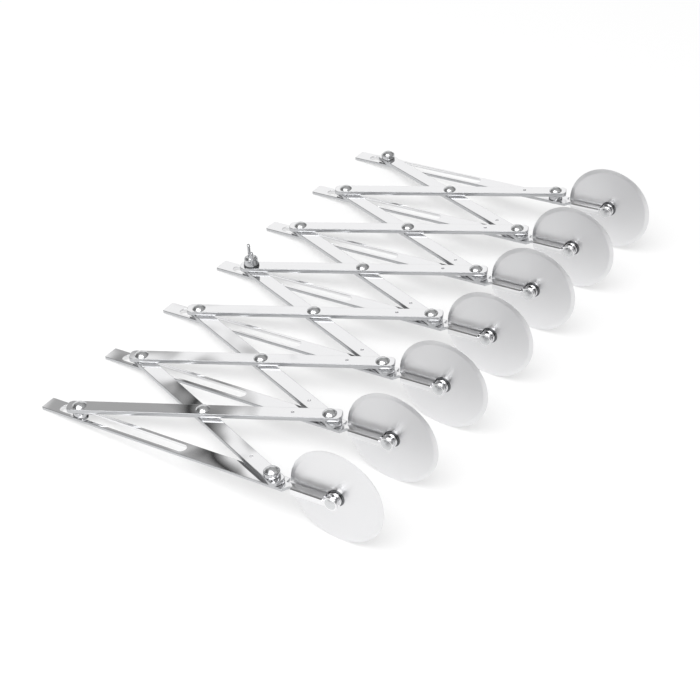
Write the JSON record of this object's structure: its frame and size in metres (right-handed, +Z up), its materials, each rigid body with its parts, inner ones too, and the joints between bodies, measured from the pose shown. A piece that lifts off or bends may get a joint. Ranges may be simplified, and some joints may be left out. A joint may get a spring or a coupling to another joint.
{
  "type": "expandable dough cutter",
  "caption": "Expandable pastry and dough cutter: a row of round cutting wheels on slotted arms, joined by crossed links so the wheels spread evenly and lock with a wing nut.",
  "frame": {"origin": "on the table, under the middle of the box around the part as it stands half spread", "axes": "+X along the row of wheels, towards the last arm; -Y towards the wheels; +Z up from the table"},
  "size_m": [0.3424, 0.2124, 0.055],
  "materials": {
    "strip_steel": "mirror-polished stainless strip",
    "rivet_steel": "polished stainless",
    "disc_steel": "satin stainless",
    "hub_steel": "darker turned steel"
  },
  "bodies": {
    "arm_body_1": {"arm_1": "strip_steel", "pivot_and_axle_1": "rivet_steel", "spacer_first_front": "hub_steel"},
    "wheel_body_1": {"wheel_disc_1": "disc_steel", "wheel_hub_1": "hub_steel"},
    "arm_body_2": {"arm_2": "strip_steel", "pivot_and_axle_2": "rivet_steel"},
    "wheel_body_2": {"wheel_disc_2": "disc_steel", "wheel_hub_2": "hub_steel"},
    "arm_body_3": {"arm_3": "strip_steel", "pivot_and_axle_3": "rivet_steel"},
    "wheel_body_3": {"wheel_disc_3": "disc_steel", "wheel_hub_3": "hub_steel"},
    "arm_body_4": {"arm_4": "strip_steel", "pivot_and_axle_4": "rivet_steel"},
    "wheel_body_4": {"wheel_disc_4": "disc_steel", "wheel_hub_4": "hub_steel"},
    "arm_body_5": {"arm_5": "strip_steel", "pivot_and_axle_5": "rivet_steel"},
    "wheel_body_5": {"wheel_disc_5": "disc_steel", "wheel_hub_5": "hub_steel"},
    "arm_body_6": {"arm_6": "strip_steel", "pivot_and_axle_6": "rivet_steel"},
    "wheel_body_6": {"wheel_disc_6": "disc_steel", "wheel_hub_6": "hub_steel"},
    "arm_body_7": {"arm_7": "strip_steel", "pivot_and_axle_7": "rivet_steel", "spacer_last_front": "hub_steel"},
    "wheel_body_7": {"wheel_disc_7": "disc_steel", "wheel_hub_7": "hub_steel"},
    "lower_link_body_1": {"lower_link_1": "strip_steel", "crossing_rivet_1": "rivet_steel"},
    "upper_link_body_1": {"upper_link_1": "strip_steel", "slide_pin_1": "rivet_steel", "spacer_first_rear": "hub_steel"},
    "lower_link_body_2": {"lower_link_2": "strip_steel", "crossing_rivet_2": "rivet_steel"},
    "upper_link_body_2": {"upper_link_2": "strip_steel", "slide_pin_2": "rivet_steel"},
    "lower_link_body_3": {"lower_link_3": "strip_steel", "crossing_rivet_3": "rivet_steel"},
    "upper_link_body_3": {"upper_link_3": "strip_steel", "slide_pin_3": "rivet_steel"},
    "lower_link_body_4": {"lower_link_4": "strip_steel", "crossing_rivet_4": "rivet_steel"},
    "upper_link_body_4": {"upper_link_4": "strip_steel", "slide_pin_4": "rivet_steel", "clamp_washer": "rivet_steel"},
    "lower_link_body_5": {"lower_link_5": "strip_steel", "crossing_rivet_5": "rivet_steel"},
    "upper_link_body_5": {"upper_link_5": "strip_steel", "slide_pin_5": "rivet_steel"},
    "lower_link_body_6": {"lower_link_6": "strip_steel", "crossing_rivet_6": "rivet_steel", "slide_pin_7": "rivet_steel", "spacer_last_rear": "hub_steel"},
    "upper_link_body_6": {"upper_link_6": "strip_steel", "slide_pin_6": "rivet_steel"},
    "nut_body": {"wing_nut": "rivet_steel"}
  },
  "joints": [
    {"name": "spread", "type": "hinge", "parent": "arm_body_4", "child": "upper_link_body_3", "pos_m": [-0.00021, -0.04243, 0.02641], "axis": [0, 0.1458, 0.9893], "range_deg": [-18.3, 41.5]},
    {"name": "crossing_3_turn", "type": "hinge", "parent": "upper_link_body_3", "child": "lower_link_body_3", "pos_m": [-0.02772, 0.02018, 0.01718], "axis": [0, 0.1458, 0.9893], "range_deg": [-83, 36.6]},
    {"name": "arm_3_turn", "type": "hinge", "parent": "lower_link_body_3", "child": "arm_body_3", "pos_m": [-0.05524, -0.04243, 0.02641], "axis": [0, 0.1458, 0.9893], "range_deg": [-18.3, 41.5]},
    {"name": "upper_link_2_turn", "type": "hinge", "parent": "arm_body_3", "child": "upper_link_body_2", "pos_m": [-0.05524, -0.04243, 0.02641], "axis": [0, 0.1458, 0.9893], "range_deg": [-18.3, 41.5]},
    {"name": "crossing_2_turn", "type": "hinge", "parent": "upper_link_body_2", "child": "lower_link_body_2", "pos_m": [-0.08275, 0.02018, 0.01718], "axis": [0, 0.1458, 0.9893], "range_deg": [-83, 36.6]},
    {"name": "arm_2_turn", "type": "hinge", "parent": "lower_link_body_2", "child": "arm_body_2", "pos_m": [-0.11027, -0.04243, 0.02641], "axis": [0, 0.1458, 0.9893], "range_deg": [-18.3, 41.5]},
    {"name": "upper_link_1_turn", "type": "hinge", "parent": "arm_body_2", "child": "upper_link_body_1", "pos_m": [-0.11027, -0.04243, 0.02641], "axis": [0, 0.1458, 0.9893], "range_deg": [-18.3, 41.5]},
    {"name": "crossing_1_turn", "type": "hinge", "parent": "upper_link_body_1", "child": "lower_link_body_1", "pos_m": [-0.13778, 0.02018, 0.01718], "axis": [0, 0.1458, 0.9893], "range_deg": [-83, 36.6]},
    {"name": "arm_1_turn", "type": "hinge", "parent": "lower_link_body_1", "child": "arm_body_1", "pos_m": [-0.16529, -0.04243, 0.02641], "axis": [0, 0.1458, 0.9893], "range_deg": [-18.3, 41.5]},
    {"name": "lower_link_4_turn", "type": "hinge", "parent": "arm_body_4", "child": "lower_link_body_4", "pos_m": [-0.00021, -0.04243, 0.02641], "axis": [0, 0.1458, 0.9893], "range_deg": [-41.5, 18.3]},
    {"name": "crossing_4_turn", "type": "hinge", "parent": "lower_link_body_4", "child": "upper_link_body_4", "pos_m": [0.0273, 0.02018, 0.01718], "axis": [0, 0.1458, 0.9893], "range_deg": [-36.6, 83]},
    {"name": "arm_5_turn", "type": "hinge", "parent": "upper_link_body_4", "child": "arm_body_5", "pos_m": [0.05482, -0.04243, 0.02641], "axis": [0, 0.1458, 0.9893], "range_deg": [-41.5, 18.3]},
    {"name": "lower_link_5_turn", "type": "hinge", "parent": "arm_body_5", "child": "lower_link_body_5", "pos_m": [0.05482, -0.04243, 0.02641], "axis": [0, 0.1458, 0.9893], "range_deg": [-41.5, 18.3]},
    {"name": "crossing_5_turn", "type": "hinge", "parent": "lower_link_body_5", "child": "upper_link_body_5", "pos_m": [0.08233, 0.02018, 0.01718], "axis": [0, 0.1458, 0.9893], "range_deg": [-36.6, 83]},
    {"name": "arm_6_turn", "type": "hinge", "parent": "upper_link_body_5", "child": "arm_body_6", "pos_m": [0.10984, -0.04243, 0.02641], "axis": [0, 0.1458, 0.9893], "range_deg": [-41.5, 18.3]},
    {"name": "lower_link_6_turn", "type": "hinge", "parent": "arm_body_6", "child": "lower_link_body_6", "pos_m": [0.10984, -0.04243, 0.02641], "axis": [0, 0.1458, 0.9893], "range_deg": [-41.5, 18.3]},
    {"name": "crossing_6_turn", "type": "hinge", "parent": "lower_link_body_6", "child": "upper_link_body_6", "pos_m": [0.13736, 0.02018, 0.01718], "axis": [0, 0.1458, 0.9893], "range_deg": [-36.6, 83]},
    {"name": "arm_7_turn", "type": "hinge", "parent": "upper_link_body_6", "child": "arm_body_7", "pos_m": [0.16487, -0.04243, 0.02641], "axis": [0, 0.1458, 0.9893], "range_deg": [-41.5, 18.3]},
    {"name": "wheel_1_spin", "type": "hinge", "parent": "arm_body_1", "child": "wheel_body_1", "pos_m": [-0.16529, -0.07865, 0.0275], "axis": [1, 0, 0], "continuous": true},
    {"name": "wheel_2_spin", "type": "hinge", "parent": "arm_body_2", "child": "wheel_body_2", "pos_m": [-0.11027, -0.07865, 0.0275], "axis": [1, 0, 0], "continuous": true},
    {"name": "wheel_3_spin", "type": "hinge", "parent": "arm_body_3", "child": "wheel_body_3", "pos_m": [-0.05524, -0.07865, 0.0275], "axis": [1, 0, 0], "continuous": true},
    {"name": "wheel_4_spin", "type": "hinge", "parent": "arm_body_4", "child": "wheel_body_4", "pos_m": [-0.00021, -0.07865, 0.0275], "axis": [1, 0, 0], "continuous": true},
    {"name": "wheel_5_spin", "type": "hinge", "parent": "arm_body_5", "child": "wheel_body_5", "pos_m": [0.05482, -0.07865, 0.0275], "axis": [1, 0, 0], "continuous": true},
    {"name": "wheel_6_spin", "type": "hinge", "parent": "arm_body_6", "child": "wheel_body_6", "pos_m": [0.10984, -0.07865, 0.0275], "axis": [1, 0, 0], "continuous": true},
    {"name": "wheel_7_spin", "type": "hinge", "parent": "arm_body_7", "child": "wheel_body_7", "pos_m": [0.16487, -0.07865, 0.0275], "axis": [1, 0, 0], "continuous": true},
    {"name": "wing_nut_turn", "type": "hinge", "parent": "upper_link_body_4", "child": "nut_body", "pos_m": [-0.00021, 0.08278, 0.00796], "axis": [0, 0.1458, 0.9893], "range_deg": [0, 360]}
  ],
  "couplings": [
    {"joint": "crossing_3_turn", "follows": "spread", "ratio": -2},
    {"joint": "arm_3_turn", "follows": "spread", "ratio": 1},
    {"joint": "upper_link_2_turn", "follows": "spread", "ratio": 1},
    {"joint": "crossing_2_turn", "follows": "spread", "ratio": -2},
    {"joint": "arm_2_turn", "follows": "spread", "ratio": 1},
    {"joint": "upper_link_1_turn", "follows": "spread", "ratio": 1},
    {"joint": "crossing_1_turn", "follows": "spread", "ratio": -2},
    {"joint": "arm_1_turn", "follows": "spread", "ratio": 1},
    {"joint": "lower_link_4_turn", "follows": "spread", "ratio": -1},
    {"joint": "crossing_4_turn", "follows": "spread", "ratio": 2},
    {"joint": "arm_5_turn", "follows": "spread", "ratio": -1},
    {"joint": "lower_link_5_turn", "follows": "spread", "ratio": -1},
    {"joint": "crossing_5_turn", "follows": "spread", "ratio": 2},
    {"joint": "arm_6_turn", "follows": "spread", "ratio": -1},
    {"joint": "lower_link_6_turn", "follows": "spread", "ratio": -1},
    {"joint": "crossing_6_turn", "follows": "spread", "ratio": 2},
    {"joint": "arm_7_turn", "follows": "spread", "ratio": -1}
  ]
}
